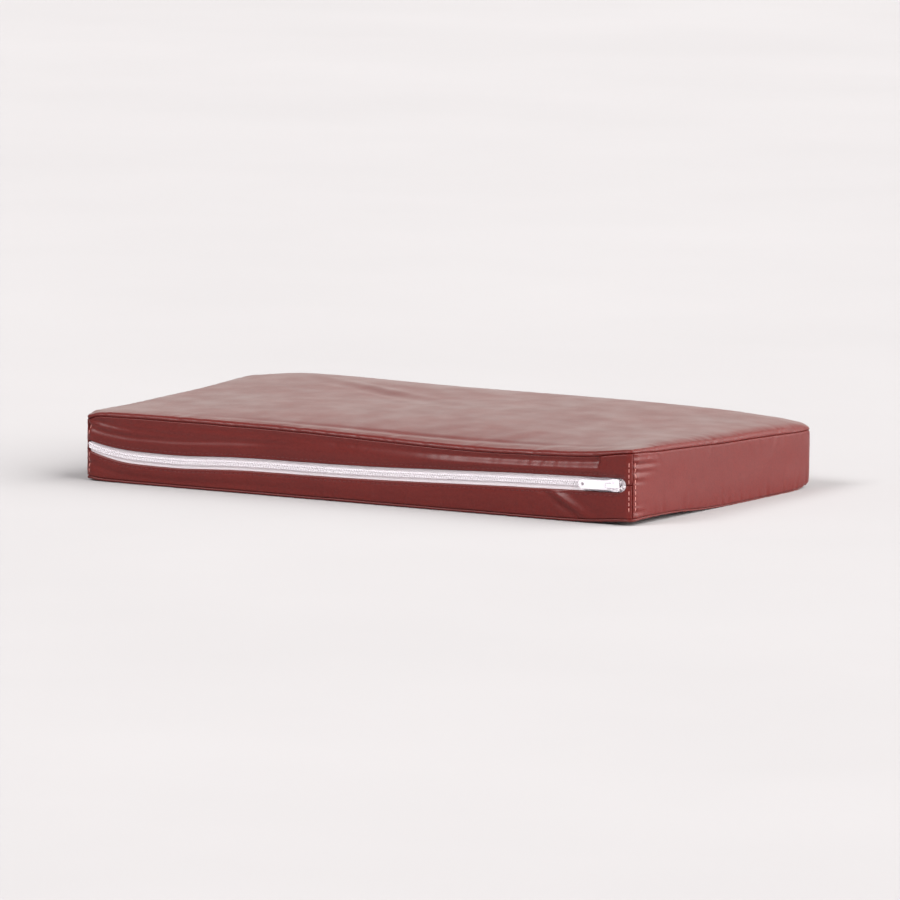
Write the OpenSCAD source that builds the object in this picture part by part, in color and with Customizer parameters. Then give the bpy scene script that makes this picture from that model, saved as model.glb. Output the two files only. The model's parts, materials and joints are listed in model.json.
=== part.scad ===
// Zipped head pillow for a massage table: a flat foam block in a boxed cover
// of coated cloth, opened by a zip along the front.
// Millimetres. X runs along the length, Y from front to back and Z up. The
// origin is under the centre of the pillow, on the surface that it rests on.

/* [Pillow] */
// Length from end to end
length = 415; // [300:5:600]
// Depth from front to back
depth = 240; // [180:5:350]
// Height from the resting face to the top face
height = 46; // [44:1:80]
// Plan radius of the two front corners, where the side seams run
front_corner_r = 6; // [5:0.5:10]
// Plan radius of the two back corners
back_corner_r = 13; // [8:1:30]

/* [Cover] */
// Thickness of the coated cloth
cloth = 1; // [0.8:0.1:1.1]
// Width of the seam allowances turned inside
allowance = 6; // [5:0.5:6.5]
// Length of one stitch
stitch_len = 2.8; // [2:0.1:3.5]
// Distance from the start of one stitch to the next
stitch_pitch = 3.6; // [3.6:0.1:5]
// Diameter of the sewing thread
thread_d = 0.5; // [0.3:0.1:0.7]
// Distance of a topstitched row from the seam or edge that it holds
stitch_inset = 2.2; // [1.5:0.1:2.5]

/* [Zip] */
// Height of the zip's centre line at the left end of the front
zip_left_z = 17; // [17:0.5:23]
// Height of the zip's centre line at the right end of the front
zip_right_z = 26; // [20:0.5:27]
// Width of the slot between the facings, where the zip shows
slot_w = 8.8; // [8.6:0.1:10]
// Width of the facing turned under along each side of the slot
turn_under = 5.5; // [4:0.5:5.5]
// Thickness of the woven tape
tape_t = 0.6; // [0.5:0.1:0.7]
// Width of one tape, from just behind its coil to its outer edge
tape_w = 9; // [7:0.5:9]
// Width of one coil, across the chain
coil_w = 2.1; // [1.8:0.1:2.1]
// Thickness of the coils
coil_t = 1.9; // [1.6:0.1:2]

/* [Slider] */
// Length of the slider along the zip
slider_len = 9.5; // [9:0.5:11]
// Width of the slider at its mouth
slider_w = 8; // [8:0.1:8.2]
// Thickness of the slider's two plates
plate_t = 0.95; // [0.8:0.05:1.1]
// Length of the pull tab beyond its hinge bar
tab_len = 24; // [15:1:35]
// Width of the pull tab
tab_w = 5.8; // [5.8:0.1:7]
// Thickness of the pull tab, and diameter of its hinge bar
tab_t = 1.2; // [1:0.1:1.2]

/* [Hidden] */
$fn = 48;
play = 0.05;        // gap between two layers that lie on each other
running = 0.2;      // gap around the parts that slide
far = 2 * length;   // size of a cutting solid
front_y = -depth / 2;
end_x = length / 2;

cover_colour = [0.40, 0.14, 0.13];
foam_colour = [0.90, 0.84, 0.62];
thread_colour = [0.74, 0.50, 0.47];
zip_colour = [0.95, 0.93, 0.95];
spring_colour = [0.72, 0.72, 0.70];

// Layers of cloth, from the outside in
panel_lip_in = 2 * cloth + play;                 // outer face of a panel's turned-down lip
seam_thread_in = panel_lip_in + cloth + play;    // outer face of a panel's seam thread
foam_in = seam_thread_in + thread_d + play;      // outer face of the foam

// The zip's own frame: x along the zip, z across it, its origin at the middle of the front
zip_tilt = atan((zip_right_z - zip_left_z) / length);
zip_z = (zip_left_z + zip_right_z) / 2;
slot_end = end_x - front_corner_r - slot_w / 2 - 0.1;  // centre of the slot's round end
tape_end = end_x - front_corner_r - 0.5;               // ends of the tapes
coil_end = slot_end + slot_w / 2 - 1.9;                // ends of the coils, inside the slot's round end

tape_y = front_y + 2 * cloth + 2 * play;         // front face of the tapes
coil_y = tape_y - play - coil_t;                 // front face of the coils
tape_gap = 0.9;                                  // from the centre line to a tape's inner edge
cord_w = 0.8;                                    // filler cord inside a coil

// The slider, parked at the closed, right-hand end of the zip
slider_x = slot_end - 4.5;
throat_y = coil_y - running;                     // inner face of the front plate
shield_y = throat_y - plate_t;                   // outer face of the front plate
back_plate_y = tape_y + tape_t + running;        // inner face of the back plate
spread = 1;                                      // how far each coil parts round the post
part_start = slider_x - 3;                       // where the coils begin to part
part_end = slider_x + 0.5;                       // where they run parallel again
post_x = [0.7, 3.7];                             // the post between the coils, from the slider's centre
post_w = 1.5;
lug_x = [2, 3];                                  // the lugs that carry the cap, from the slider's centre
lug_w = 2.2;
lug_h = 1.85;
spring_t = 0.25;
cap_t = 0.4;
cap_x = 3.1;                                     // inner face of the cap's legs
cap_w = 2.8;
cap_y = shield_y - lug_h - spring_t - 2 * play - cap_t;  // outer face of the cap
pin_x = -1.6;                                    // the lock pin on the spring
pin_w = 0.7;
hinge_y = shield_y - running - tab_t / 2;        // axis of the pull tab

// ---- shared shapes ----

// The pillow's plan, moved inwards by inset
module outline(inset) {
    x = end_x - inset;
    y = depth / 2 - inset;
    front_r = front_corner_r - inset;
    back_r = back_corner_r - inset;
    for (side = [-1, 1]) {
        translate([side * (x - front_r), -y + front_r]) circle(front_r);
        translate([side * (x - back_r), y - back_r]) circle(back_r);
    }
    translate([-x, -y + front_r]) square([2 * x, 2 * y - front_r - back_r]);
    translate([-x + front_r, -y]) square([2 * (x - front_r), 2 * front_r]);
    translate([-x + back_r, y - 2 * back_r]) square([2 * (x - back_r), 2 * back_r]);
}

// A wall that follows the plan, between two insets and two heights
module wall(outer, inner, low, high) {
    translate([0, 0, low]) linear_extrude(high - low)
        difference() { outline(outer); outline(inner); }
}

// Everything in front of the two side seams, which run at 45 degrees through the front corners
module front_zone() {
    x = end_x - front_corner_r;
    y = front_y + front_corner_r;
    reach = 2 * front_corner_r;
    translate([0, 0, -1]) linear_extrude(height + 2)
        polygon([[-x, y], [-x - reach, y - reach], [x + reach, y - reach], [x, y]]);
}

// Children placed in the zip's own frame
module on_zip() {
    translate([0, 0, zip_z]) rotate([0, -zip_tilt, 0]) children();
}

// Children mirrored from above the zip's centre line to below it
module below_zip() {
    mirror([0, 0, 1]) children();
}

// A block in the zip's frame, from two corners
module block(from, to) {
    translate(from) cube(to - from);
}

// A shape drawn across the zip, in x and z, made solid between two depths
module across_zip(from_y, to_y) {
    translate([0, to_y, 0]) rotate([90, 0, 0]) linear_extrude(to_y - from_y) children();
}

// ---- cover ----

// A panel, flat, with its seam allowance turned down inside the boxing; this one is the bottom
module panel() {
    linear_extrude(cloth) outline(0);
    wall(panel_lip_in, panel_lip_in + cloth, cloth / 2, cloth + allowance);
}

module top_panel() {
    color(cover_colour) translate([0, 0, height]) mirror([0, 0, 1]) panel();
}

module bottom_panel() {
    color(cover_colour) panel();
}

// The side wall's cloth: one layer, doubled where its allowances are turned inside
module side_cloth() {
    low = cloth + play;
    high = height - cloth - play;
    wall(0, cloth, low, high);
    wall(cloth / 2, 2 * cloth, low, low + allowance);
    wall(cloth / 2, 2 * cloth, high - allowance, high);
}

// Cloth turned inside along the two side seams, full height
module side_seam_allowances() {
    width = allowance + front_corner_r / 2;
    intersection() {
        wall(cloth / 2, 2 * cloth, cloth + play, height - cloth - play);
        for (side = [-1, 1])
            translate([side * end_x, front_y, height / 2]) cube([2 * width, 2 * width, height], center = true);
    }
}

// One strip round the right end, the back and the left end
module boxing_strip() {
    color(cover_colour) difference() {
        union() { side_cloth(); side_seam_allowances(); }
        front_zone();
    }
}

// The slot that the zip shows through
module slot() {
    across_zip(front_y - 5, front_y + 5) {
        square([2 * slot_end, slot_w], center = true);
        for (side = [-1, 1]) translate([side * slot_end, 0]) circle(slot_w / 2);
    }
}

// One facing in the zip's frame, above the centre line; flip is -1 for the lower one
module facing(flip) {
    edge = slot_w / 2 + turn_under;
    color(cover_colour) difference() {
        intersection() {
            union() {
                side_cloth();
                side_seam_allowances();
                intersection() {
                    wall(cloth / 2, 2 * cloth, cloth + play, height - cloth - play);
                    on_zip() block([-far, front_y - 1, -edge], [far, front_y + front_corner_r, edge]);
                }
            }
            front_zone();
            on_zip() scale([1, 1, flip]) block([-far, -depth, play / 2], [far, 0, 2 * height]);
        }
        on_zip() slot();
    }
}

module upper_facing() { facing(1); }

module lower_facing() { facing(-1); }

// The hidden seam line of a panel; this one is the bottom
module seam_thread() {
    wall(seam_thread_in, seam_thread_in + thread_d, cloth + 1, cloth + 1 + thread_d);
}

module top_seam_thread() {
    color(thread_colour) translate([0, 0, height]) mirror([0, 0, 1]) seam_thread();
}

module bottom_seam_thread() {
    color(thread_colour) seam_thread();
}

// A straight row of stitches along +X, centred on the origin
module stitch_row(row_len) {
    count = floor((row_len - stitch_len) / stitch_pitch) + 1;
    for (i = [0 : count - 1])
        translate([(i - (count - 1) / 2) * stitch_pitch - stitch_len / 2, 0, 0])
            rotate([0, 90, 0]) cylinder(h = stitch_len, d = thread_d, $fn = 16);
}

// Two upright rows, one on each side of the right-hand side seam
module corner_stitches() {
    swing = stitch_inset / front_corner_r * 180 / PI;
    translate([end_x - front_corner_r, front_y + front_corner_r, height / 2])
        for (side = [-1, 1])
            rotate([0, 0, 45 + side * swing])
                translate([0, -front_corner_r - thread_d / 2 - play, 0])
                    rotate([0, 90, 0]) stitch_row(height - 8);
}

module right_corner_stitches() {
    color(thread_colour) corner_stitches();
}

module left_corner_stitches() {
    color(thread_colour) mirror([1, 0, 0]) corner_stitches();
}

// The row that holds a facing to its tape
module zip_stitches() {
    translate([0, front_y - thread_d / 2 - play, slot_w / 2 + stitch_inset])
        stitch_row(2 * slot_end);
}

module upper_zip_stitches() {
    color(thread_colour) on_zip() zip_stitches();
}

module lower_zip_stitches() {
    color(thread_colour) on_zip() below_zip() zip_stitches();
}

// ---- zip ----

module tape() {
    block([-tape_end, tape_y, tape_gap], [tape_end, tape_y + tape_t, tape_gap + tape_w]);
}

module upper_zip_tape() { color(zip_colour) on_zip() tape(); }

module lower_zip_tape() { color(zip_colour) on_zip() below_zip() tape(); }

// A strip along the chain between two distances from its centre line, parted at the slider
module chain_strip(inner, outer) {
    polygon([
        [-coil_end, inner], [part_start, inner], [part_end, inner + spread], [coil_end, inner + spread],
        [coil_end, outer + spread], [part_end, outer + spread], [part_start, outer], [-coil_end, outer]
    ]);
}

// One coil, as the bar that its loops fill, hollow for the filler cord
module coil() {
    middle = coil_w / 2;
    hollow = cord_w / 2 + play;
    difference() {
        across_zip(coil_y, coil_y + coil_t) chain_strip(play / 2, coil_w);
        across_zip(coil_y + coil_t / 2 - hollow, coil_y + coil_t / 2 + hollow)
            chain_strip(middle - hollow, middle + hollow);
    }
}

module upper_zip_coil() { color(zip_colour) on_zip() coil(); }

module lower_zip_coil() { color(zip_colour) on_zip() below_zip() coil(); }

module coil_cord() {
    across_zip(coil_y + (coil_t - cord_w) / 2, coil_y + (coil_t + cord_w) / 2)
        chain_strip((coil_w - cord_w) / 2, (coil_w + cord_w) / 2);
}

module upper_coil_cord() { color(zip_colour) on_zip() coil_cord(); }

module lower_coil_cord() { color(zip_colour) on_zip() below_zip() coil_cord(); }

// ---- slider ----

// Children placed in the zip's frame at the parked slider's centre
module at_slider() {
    on_zip() translate([slider_x, 0, 0]) children();
}

// Half of the slider's outline, wide at the mouth and narrow at the tail
half_outline = [
    [-slider_len / 2, slider_w / 2 - 1.5], [-slider_len / 2 + 0.5, slider_w / 2 - 1],
    [-3, slider_w / 2 - 0.8], [0.3, slider_w / 2], [slider_len / 2 - 0.75, slider_w / 2],
    [slider_len / 2, slider_w / 2 - 0.8]
];

module slider_plate() {
    last = len(half_outline) - 1;
    polygon(concat(half_outline, [for (i = [last : -1 : 0]) [half_outline[i].x, -half_outline[i].y]]));
}

// The room between the flanges for the two coils
module throat() {
    tail = coil_w + running;
    mouth = tail + spread;
    polygon([
        [-far, -tail], [part_start - slider_x - running, -tail], [part_end - slider_x, -mouth], [far, -mouth],
        [far, mouth], [part_end - slider_x, mouth], [part_start - slider_x - running, tail], [-far, tail]
    ]);
}

module slider_body() {
    post_len = post_x[1] - post_x[0];
    color(zip_colour) at_slider() {
        difference() {
            union() {
                // Front plate with its flanges
                across_zip(shield_y, throat_y) slider_plate();
                across_zip(throat_y - plate_t / 2, tape_y - running) difference() { slider_plate(); throat(); }
                // Lugs for the cap
                for (side = [-1, 1])
                    translate([side * (lug_x[0] + lug_x[1]) / 2, shield_y - lug_h / 2 + play, 0])
                        cube([lug_x[1] - lug_x[0], lug_h, lug_w], center = true);
            }
            // Hole for the lock pin
            translate([pin_x, shield_y, 0])
                cube([pin_w + 2 * running, 4 * plate_t, pin_w + 2 * running], center = true);
        }
        // Post between the coils and the back plate behind the tapes
        translate([post_x[0], shield_y + plate_t / 2, -post_w / 2])
            cube([post_len, back_plate_y - shield_y, post_w]);
        across_zip(back_plate_y, back_plate_y + plate_t) slider_plate();
    }
}

// Bent from sheet: a bridge over the lugs with a leg at each end
module slider_cap() {
    foot_y = shield_y - play;
    color(zip_colour) at_slider()
        translate([0, 0, -cap_w / 2]) linear_extrude(cap_w) polygon([
            [-cap_x - cap_t, foot_y], [-cap_x - cap_t, cap_y + cap_t], [-cap_x, cap_y],
            [cap_x, cap_y], [cap_x + cap_t, cap_y + cap_t], [cap_x + cap_t, foot_y],
            [cap_x, foot_y], [cap_x, cap_y + cap_t], [-cap_x, cap_y + cap_t], [-cap_x, foot_y]
        ]);
}

// A leaf on the two lugs, with a pin that drops between the coils' loops
module lock_spring() {
    leaf_y = shield_y - lug_h;
    color(spring_colour) at_slider() {
        block([-lug_x[1], leaf_y - spring_t, -0.9], [lug_x[1], leaf_y, 0.9]);
        block([pin_x - 0.2, leaf_y - spring_t / 2, -pin_w / 2], [pin_x + 0.2, coil_y - running / 2, pin_w / 2]);
    }
}

// A flat tab on a round bar that turns inside the cap's bridge
module pull_tab() {
    window = cap_x + cap_t + 0.7;       // inner end of the window that clears the cap
    window_w = cap_w + 2 * running;
    hole_x = -tab_len + tab_w / 2;      // centre of the tab's round end
    color(zip_colour) at_slider() {
        translate([0, hinge_y, -tab_w / 2]) cylinder(h = tab_w, d = tab_t);
        across_zip(hinge_y - tab_t / 2, hinge_y + tab_t / 2) difference() {
            union() {
                translate([hole_x, -tab_w / 2]) square([-hole_x, tab_w]);
                translate([hole_x, 0]) circle(tab_w / 2);
            }
            translate([-window, -window_w / 2]) square([window + 1, window_w]);
            translate([hole_x, 0]) circle(tab_w / 5);
        }
    }
}

// ---- foam ----

// The block, set back at the front so that the slider's back plate runs clear
module foam_core() {
    set_back = back_plate_y + plate_t + 2 * running - front_y;
    low = cloth + play;
    color(foam_colour) intersection() {
        translate([0, 0, low]) linear_extrude(height - 2 * low) outline(foam_in);
        block([-far, front_y + set_back, 0], [far, depth, height]);
    }
}

foam_core();
top_panel();
bottom_panel();
boxing_strip();
upper_facing();
lower_facing();
top_seam_thread();
bottom_seam_thread();
left_corner_stitches();
right_corner_stitches();
upper_zip_stitches();
lower_zip_stitches();
upper_zip_tape();
lower_zip_tape();
upper_zip_coil();
lower_zip_coil();
upper_coil_cord();
lower_coil_cord();
slider_body();
slider_cap();
lock_spring();
pull_tab();
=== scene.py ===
"""Looks for the zipped head pillow: a foam block in a boxed cover of coated cloth, with a zip in front.

The cover starts as a lattice of points wrapped round the pillow, and a cloth simulation tightens it over
the foam. The panels, facings, seams and stitches are then drawn on that lattice at a finer scale.
Lengths are in millimetres until make_mesh() turns them into metres.
"""

import json
import math

import bpy
import numpy as np
from mathutils import Matrix, Vector


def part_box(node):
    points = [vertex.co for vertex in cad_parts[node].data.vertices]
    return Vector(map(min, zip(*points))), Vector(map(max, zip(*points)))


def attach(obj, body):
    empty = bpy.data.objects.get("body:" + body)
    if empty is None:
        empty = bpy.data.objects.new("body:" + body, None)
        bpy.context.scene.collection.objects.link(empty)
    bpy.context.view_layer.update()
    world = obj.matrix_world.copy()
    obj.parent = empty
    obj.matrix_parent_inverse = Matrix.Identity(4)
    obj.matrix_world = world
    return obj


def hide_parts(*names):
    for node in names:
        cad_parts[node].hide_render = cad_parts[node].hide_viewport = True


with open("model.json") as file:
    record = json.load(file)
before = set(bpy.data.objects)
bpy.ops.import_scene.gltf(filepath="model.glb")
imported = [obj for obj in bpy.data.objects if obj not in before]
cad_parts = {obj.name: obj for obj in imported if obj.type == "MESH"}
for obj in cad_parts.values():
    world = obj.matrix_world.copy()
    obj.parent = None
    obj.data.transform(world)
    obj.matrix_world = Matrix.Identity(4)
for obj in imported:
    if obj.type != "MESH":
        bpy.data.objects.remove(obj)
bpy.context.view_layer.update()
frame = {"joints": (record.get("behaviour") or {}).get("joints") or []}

MM = 0.001
rng = np.random.default_rng(12)


# ---- dimensions ----

def cad_box(node):
    """Lowest and highest corner of a CAD node, in mm."""
    return [np.array(corner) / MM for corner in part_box(node)]


JOINTS = {j["name"]: j for j in frame["joints"]}
PANEL_LOW, PANEL_HIGH = cad_box("bottom_panel")
END_X, FRONT_Y, BACK_Y = PANEL_HIGH[0], PANEL_LOW[1], PANEL_HIGH[1]
HEIGHT = cad_box("top_panel")[1][2]
HINGE = np.array(JOINTS["pull_tab_swing"]["pos_m"]) / MM
TRAVEL = np.array(JOINTS["slider_travel"]["axis"])
ZIP_SLOPE = TRAVEL[2] / TRAVEL[0]
TAPE_FRONT = cad_box("upper_zip_tape")[0][1] - FRONT_Y       # depth of the tapes' front face
TAPE_END = cad_box("upper_zip_tape")[1][0]
COIL_FRONT = cad_box("upper_zip_coil")[0][1] - FRONT_Y
COIL_BACK = cad_box("upper_zip_coil")[1][1] - FRONT_Y
COIL_END = cad_box("upper_zip_coil")[1][0]
FOAM_LOW, FOAM_HIGH = cad_box("foam_core")
FOAM_SLACK = np.array([0.0, 1.5, 2.4])      # room between the foam and the hollows of the cover

FRONT_R = 6.0          # plan radius of the front corners
BACK_R = 13.0          # plan radius of the back corners
ROLL_R = 2.4           # radius of the rolled edge between a panel and its seam
SKIN = 0.9             # thickness of the coated cloth
FOLD = 1.0             # radius of the folded edge along a seam
ALLOWANCE = 6.0        # cloth turned inside along a seam
TURN_UNDER = 5.5       # cloth turned under along the zip's slot
BUTT_TURN = 1.2        # cloth turned under where the facings meet, beyond the slot
SLOT_HALF = 4.4        # half width of the zip's slot
SLOT_END = END_X - FRONT_R - SLOT_HALF - 0.1    # centre of the slot's round end
LIP_START = 2.03       # depth of a panel's turned-down lip at the seam
LIP_DEPTH = 2.1        # and below it, behind the side wall's two layers
SEAM_THREAD_DEPTH = 3.35
STITCH_PITCH = 3.6
STITCH_LEN = 2.8
STITCH_INSET = 2.2     # from an edge to its row of stitches
THREAD_R = 0.26
TAPE_THICK = 0.6
TAPE_INNER, TAPE_OUTER = 0.9, 9.9    # across the zip, from its centre line
COIL_W = 2.1
COIL_PITCH = 1.27
COIL_PART = (189.5, 193.0)           # where the coils part round the slider's post
COIL_SPREAD = 1.0


def ease(t):
    """0 to 1, with a smooth start and end."""
    t = np.clip(t, 0, 1)
    return t * t * (3 - 2 * t)


def hill(t):
    """1 at t = 0, and nearly 0 past t = 2."""
    return np.exp(-np.square(t))


# ---- the pillow's shape ----

def zip_line(x):
    """Height of the zip's centre line.

    It follows the slider's straight way, sags a little in two places and is drawn up at the left.
    """
    from_left = np.asarray(x, float) + END_X
    drawn_up = 7.4 * np.clip(1 - from_left / 44, 0, 1) ** 2
    slack = -1.3 * hill((from_left - 74) / 30) - 1.3 * hill((from_left - 215) / 80)
    return HINGE[2] + (x - HINGE[0]) * ZIP_SLOPE + drawn_up + slack


def slot_half(x):
    """Half width of the slot: full at the right, and narrower towards the left corner seam."""
    from_left = np.asarray(x, float) + END_X
    return SLOT_HALF - 0.35 * ease((370 - from_left) / 180) - 0.9 * np.clip(1 - from_left / 28, 0, 1)


TOP_MOUNDS = (                         # height, place in plan, and reach along X and Y
    (3.6, -180, 88, 80, 58),           # full back left corner
    (-2.2, END_X, 100, 60, 45),        # slack back right corner
    (-1.2, -END_X, -75, 50, 40),       # slack left end
    (3.0, END_X, -76, 34, 54),         # full front right corner
    (2.0, END_X, FRONT_Y, 22, 22),     # and its tip
    (-2.6, -END_X, FRONT_Y, 8, 8),     # worn tips of the other three
    (-2.4, END_X, BACK_Y, 12, 12),
    (-2.4, -END_X, BACK_Y, 12, 12),
)
BOTTOM_MOUNDS = (
    (3.6, END_X, -84, 30, 54),         # front right corner, a little clear of the table
    (4.0, END_X, BACK_Y, 16, 16),      # rounded tips of the other three
    (4.0, -END_X, BACK_Y, 16, 16),
    (1.2, -END_X, FRONT_Y, 9, 9),
)


def mounds(x, y, table):
    """Height of the rises and hollows of a table at places in plan."""
    return sum(h * hill(np.hypot((x - at_x) / u, (y - at_y) / v)) for h, at_x, at_y, u, v in table)


def top_rise(x, y):
    """How far the top stands above the CAD height: a crown, a slack front edge and uneven corners."""
    u, v = np.clip(abs(x) / END_X, 0, 1), np.clip(abs(y) / BACK_Y, 0, 1)
    crown = 3.0 * (1 - u ** 2.6) * (1 - v ** 2.6)
    back = 1.9 * (1 - u ** 2) * ease((y - 30) / 80)
    dip = -3.4 * hill((x - 85) / 95) * hill((y - FRONT_Y) / 50)
    right_edge = -1.4 * hill((x - END_X) / 6) * ease((y - FRONT_Y - 8) / 60)
    back_edge = -1.2 * hill((y - BACK_Y) / 6)
    return crown + back + dip + right_edge + back_edge + mounds(x, y, TOP_MOUNDS)


def bottom_rise(x, y):
    """How far the underside stands off the table."""
    return mounds(x, y, BOTTOM_MOUNDS)


def lattice_lines(low, high, step):
    """Lines between two sides: close together over the rolled edges and corners, then step apart."""
    rolled = ROLL_R * (1 - np.sin(np.radians([90, 67.5, 45, 22.5, 0])))
    near = np.concatenate([rolled, [4.0, 5.8, 7.8, 10.2, 12.8, 16.0, 20.0]])
    low_middle, high_middle = low + near[-1], high - near[-1]
    middle = np.linspace(low_middle, high_middle, round((high_middle - low_middle) / step) + 1)
    return np.concatenate([low + near[:-1], middle, high - near[:-1][::-1]])


LATTICE_STEP = 4.6     # between the lattice's lines, away from the edges
ROLL_LINES = 4         # lattice steps over a rolled edge
ROLL_STEP = math.pi / 2 * ROLL_R / ROLL_LINES
LOWER_ROWS, SLOT_ROWS, UPPER_ROWS = 5, 2, 5     # steps up the front: below, across and above the slot
LOW_EDGE, CENTRE_ROW, HIGH_EDGE = LOWER_ROWS, LOWER_ROWS + 1, LOWER_ROWS + SLOT_ROWS
ROWS = LOWER_ROWS + SLOT_ROWS + UPPER_ROWS
XS = lattice_lines(-END_X, END_X, LATTICE_STEP)
YS = lattice_lines(FRONT_Y, BACK_Y, LATTICE_STEP)
NX, NY = len(XS) - 1, len(YS) - 1


def rounded(x, y):
    """The plan with each corner square pressed into a quarter disc."""
    radius = np.where(y < 0, FRONT_R, BACK_R)
    a = np.clip((abs(x) - END_X + radius) / radius, 0, 1)
    b = np.clip((abs(y) - BACK_Y + radius) / radius, 0, 1)
    in_corner = (a > 0) & (b > 0)
    new_x = np.sign(x) * (END_X - radius + radius * a * np.sqrt(1 - b * b / 2))
    new_y = np.sign(y) * (BACK_Y - radius + radius * b * np.sqrt(1 - a * a / 2))
    return np.where(in_corner, new_x, x), np.where(in_corner, new_y, y)


def wall_height(x, y, row):
    """Height of a wall's lattice row: following the zip on the front, and even elsewhere."""
    foot = ROLL_R + bottom_rise(x, y)
    head = HEIGHT - ROLL_R + top_rise(x, y)
    even = foot + (head - foot) * row / ROWS
    at = [0, LOW_EDGE, HIGH_EDGE, ROWS]
    knots = [foot, zip_line(x) - slot_half(x), zip_line(x) + slot_half(x), head]
    part = min(int(np.searchsorted(at, row, side="right")) - 1, 2)
    t = (row - at[part]) / (at[part + 1] - at[part])
    front = knots[part] * (1 - t) + knots[part + 1] * t
    return front + (even - front) * ease((y - FRONT_Y - FRONT_R) / 24)


def numbered(rows, columns, start=0):
    """A grid of point numbers, counted row by row."""
    return start + np.arange(rows * columns).reshape(rows, columns)


def grid_faces(grid):
    """The quads between neighbouring ids in a grid."""
    return np.stack([grid[:-1, :-1], grid[1:, :-1], grid[1:, 1:], grid[:-1, 1:]], -1).reshape(-1, 4)


def build_lattice():
    """Ids of the surface points by their three line numbers, their places, and their faces."""
    ids = -np.ones((NX + 1, NY + 1, ROWS + 1), int)
    surface = np.ones(ids.shape, bool)
    surface[1:-1, 1:-1, 1:-1] = False
    ids[surface] = np.arange(surface.sum())
    i, j, row = np.nonzero(surface)
    x, y = XS[i], YS[j]
    from_edge = np.minimum(END_X - abs(x), BACK_Y - abs(y))
    drop = ROLL_R - np.sqrt(ROLL_R ** 2 - np.maximum(ROLL_R - from_edge, 0) ** 2)
    x, y = rounded(x, y)
    z = np.zeros(len(x))
    for r in range(ROWS + 1):
        z[row == r] = wall_height(x[row == r], y[row == r], r)
    z = np.where(row == ROWS, HEIGHT + top_rise(x, y) - drop, z)
    z = np.where(row == 0, bottom_rise(x, y) + drop, z)
    top_and_bottom = [ids[:, :, -1], ids[::-1, :, 0]]
    walls = [ids[:, 0, :], ids[::-1, -1, :], ids[0, ::-1, :], ids[-1, :, :]]
    faces = np.concatenate([grid_faces(side) for side in top_and_bottom + walls])
    return ids, np.stack([x, y, z], 1), faces


# ---- meshes ----

def make_mesh(name, points, faces):
    """A smooth-shaded object from points in mm and a list of faces."""
    mesh = bpy.data.meshes.new(name)
    mesh.from_pydata((np.asarray(points) * MM).tolist(), [], [list(map(int, face)) for face in faces])
    mesh.polygons.foreach_set("use_smooth", [True] * len(mesh.polygons))
    mesh.update()
    piece = bpy.data.objects.new(name, mesh)
    bpy.context.scene.collection.objects.link(piece)
    return piece


def finish_piece(piece, material, slot, *nodes):
    """Gives a piece of the cover its material, hangs it on the cover's body, and hides the CAD nodes that it
    stands for.
    """
    piece.data.materials.append(material)
    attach(piece, "cover")
    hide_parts(*nodes)
    return piece


def thicken(piece, thickness):
    """Adds the sheet's thickness on its inner side."""
    solid = piece.modifiers.new("thickness", "SOLIDIFY")
    solid.thickness = thickness * MM
    solid.offset = -1
    solid.use_rim = True


def places(piece):
    """A piece's points in mm, with its modifiers applied."""
    made = piece.evaluated_get(bpy.context.evaluated_depsgraph_get()).to_mesh()
    co = np.empty(len(made.vertices) * 3)
    made.vertices.foreach_get("co", co)
    return co.reshape(-1, 3) / MM


def point_normals(points, faces):
    """Unit normals at the points of a quad mesh."""
    a, b, c, d = (points[faces[:, n]] for n in range(4))
    across = np.cross(c - a, d - b)
    normals = np.zeros_like(points)
    for n in range(4):
        np.add.at(normals, faces[:, n], across)
    return normals / np.maximum(np.linalg.norm(normals, axis=1, keepdims=True), 1e-12)


def unit(vectors):
    """Each vector at length 1."""
    return vectors / np.linalg.norm(vectors, axis=-1, keepdims=True)


def tube(path, side, up, radius, sides=8, closed=False):
    """A round bar along a path; side and up span its section. Open ends taper shut."""
    path = np.asarray(path, float)
    radii = np.full(len(path), float(radius))
    if not closed:
        radii[[0, -1]] = 0.4 * radius
    angle = (np.arange(sides) * 2 * math.pi / sides)[None, :, None]
    section = np.cos(angle) * side[:, None, :] + np.sin(angle) * up[:, None, :]
    points = (path[:, None, :] + radii[:, None, None] * section).reshape(-1, 3)
    ring = numbered(len(path), sides)
    ring = np.concatenate([ring, ring[:, :1]], 1)
    if closed:
        ring = np.concatenate([ring, ring[:1]])
        return points, grid_faces(ring).tolist()
    caps = [ring[0, :-1].tolist(), ring[-1, :-1][::-1].tolist()]
    return points, grid_faces(ring).tolist() + caps


def joined(parts):
    """Points and faces of several parts as one."""
    faces, start = [], 0
    for points, part_faces in parts:
        faces.extend([v + start for v in face] for face in part_faces)
        start += len(points)
    return np.concatenate([points for points, part_faces in parts]), faces


# ---- cloth simulation ----

def smoothed(values, faces, rounds):
    """Values at the points of a quad mesh, averaged with their neighbours a number of times."""
    ends = np.concatenate([faces[:, [n, (n + 1) % 4]] for n in range(4)])
    count = np.bincount(ends[:, 0], minlength=len(values))[:, None]
    for _ in range(rounds):
        around = np.zeros_like(values)
        np.add.at(around, ends[:, 0], values[ends[:, 1]])
        values = 0.5 * values + 0.5 * around / count
    return values


SIM_FRAMES = 24
SIM_CAP = 2.2          # furthest that the simulation may move a point
SIM_CONTACT = 0.5      # gap that the simulation keeps between the cover and the foam, on each
SIM_NOISE = 0.08       # unevenness that starts the cloth's folds
FOAM_GAP = 1.3         # from the cover's starting shape to the foam that it settles on
CORNER_REACH = 36      # how far from a corner the folded layers stiffen the cloth


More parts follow.
